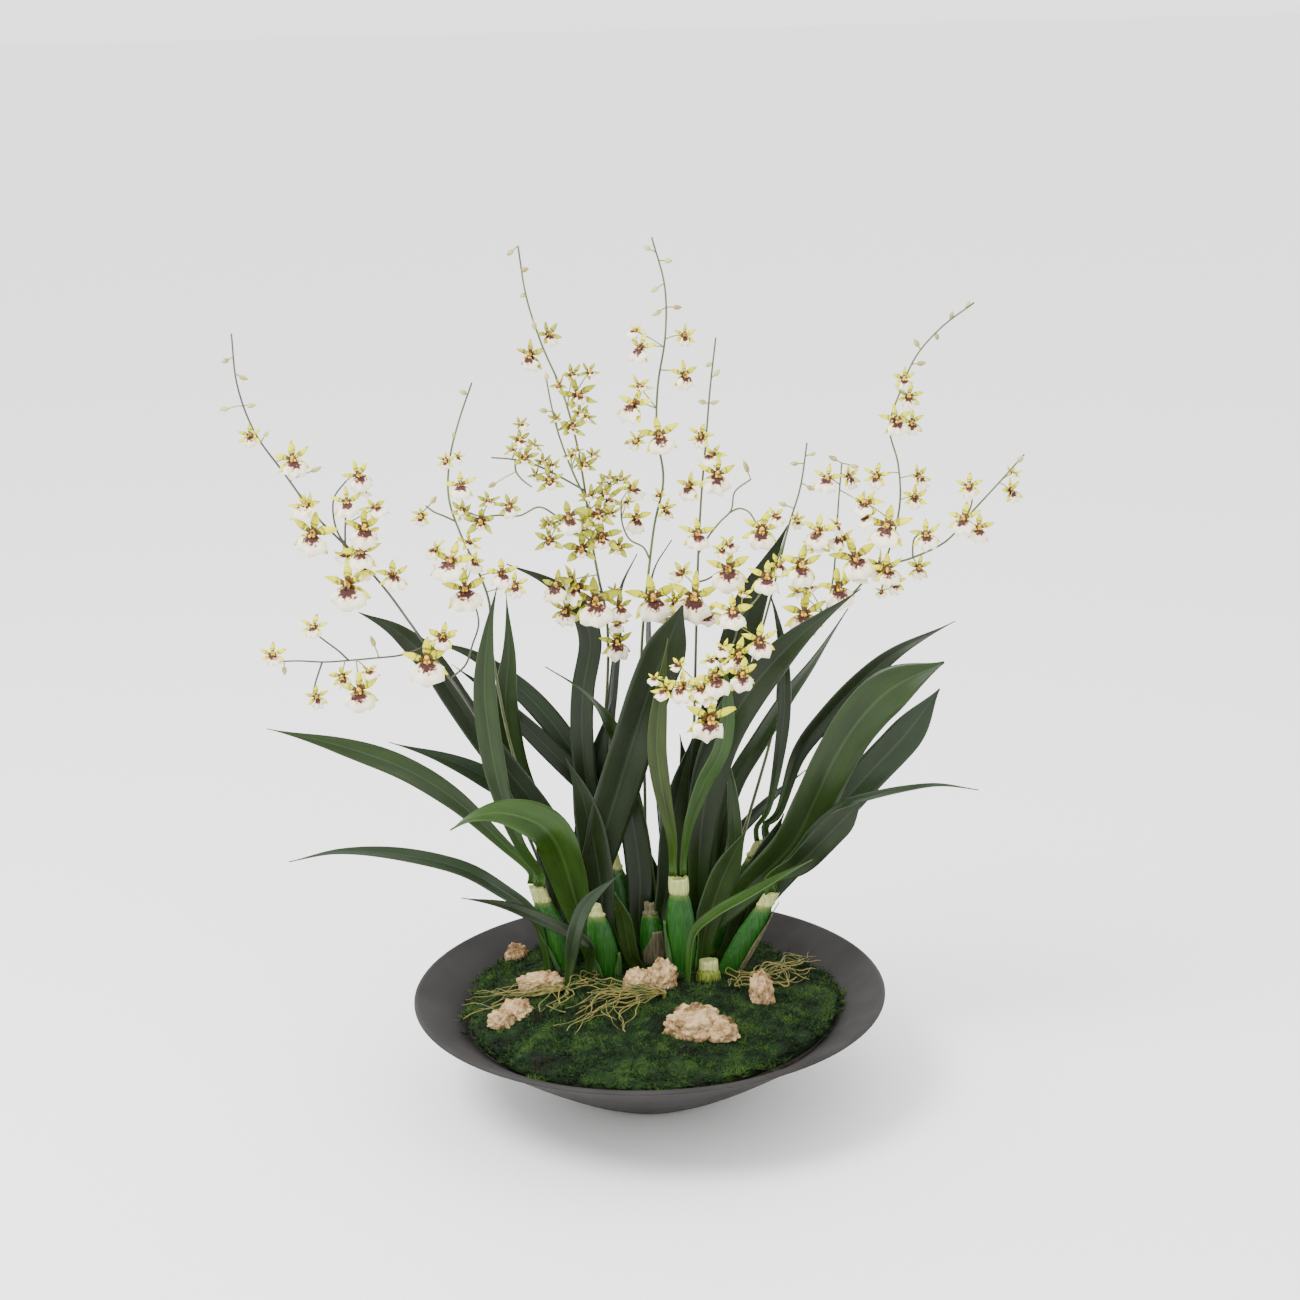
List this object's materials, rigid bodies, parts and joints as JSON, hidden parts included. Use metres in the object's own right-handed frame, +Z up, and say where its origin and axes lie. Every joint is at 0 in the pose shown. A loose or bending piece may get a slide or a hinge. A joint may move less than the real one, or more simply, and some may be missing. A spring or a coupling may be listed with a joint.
{
  "type": "potted orchid",
  "caption": "Oncidium orchid with arching sprays of small yellow and cream blooms, strap leaves and ribbed pseudobulbs, in a mossed, wide, shallow ceramic bowl.",
  "frame": {"origin": "on the floor, at the middle of the bowl's flat foot", "axes": "+Z up, -Y towards the side the plant is seen from, +X to the viewer's right"},
  "size_m": [0.6367, 0.4, 0.7215],
  "materials": {
    "bowl": "matt dark grey",
    "growing_medium": "loose damp bark chips",
    "moss": "fibrous green moss",
    "bark": "rough, dry, tan",
    "pseudobulb": "smooth living skin with a cream cut end",
    "leaf": "leathery, softly shining living leaf",
    "aerial_root": "dry living root",
    "flower_spray": "living stem with soft petals"
  },
  "bodies": {
    "root": {"bark_front": "bark", "bark_front_left": "bark", "bark_left": "bark", "bark_middle": "bark", "bark_rear": "bark", "bark_right": "bark", "bowl": "bowl", "growing_medium": "growing_medium", "leaf_arched": "leaf", "leaf_centre_broad": "leaf", "leaf_centre_left_tall": "leaf", "leaf_centre_right_tall": "leaf", "leaf_dark_crossing": "leaf", "leaf_front_edge": "leaf", "leaf_front_folded": "leaf", "leaf_front_small": "leaf", "leaf_left_inner": "leaf", "leaf_left_long": "leaf", "leaf_left_low": "leaf", "leaf_left_middle": "leaf", "leaf_left_short": "leaf", "leaf_left_upright": "leaf", "leaf_rear_left": "leaf", "leaf_rear_right_upright": "leaf", "leaf_rear_short": "leaf", "leaf_right_broad": "leaf", "leaf_right_edge_on": "leaf", "leaf_right_low": "leaf", "leaf_right_slender": "leaf", "leaf_right_under": "leaf", "leaf_right_wide": "leaf", "leaf_right_wisp": "leaf", "leaf_shaded_left": "leaf", "leaf_slim_centre": "leaf", "leaf_slim_left": "leaf", "leaf_tall_right": "leaf", "leaf_thin_centre": "leaf", "leaf_upper_left": "leaf", "moss_bed": "moss", "pseudobulb_centre": "pseudobulb", "pseudobulb_cut": "pseudobulb", "pseudobulb_front_left": "pseudobulb", "pseudobulb_left": "pseudobulb", "pseudobulb_old": "pseudobulb", "pseudobulb_rear_centre": "pseudobulb", "pseudobulb_rear_right": "pseudobulb", "pseudobulb_right": "pseudobulb", "roots_centre": "aerial_root", "roots_left": "aerial_root", "roots_right": "aerial_root", "spray_centre": "flower_spray", "spray_centre_left": "flower_spray", "spray_centre_right": "flower_spray", "spray_far_left": "flower_spray", "spray_far_right": "flower_spray", "spray_front_right": "flower_spray", "spray_inner_left": "flower_spray"}
  },
  "joints": []
}
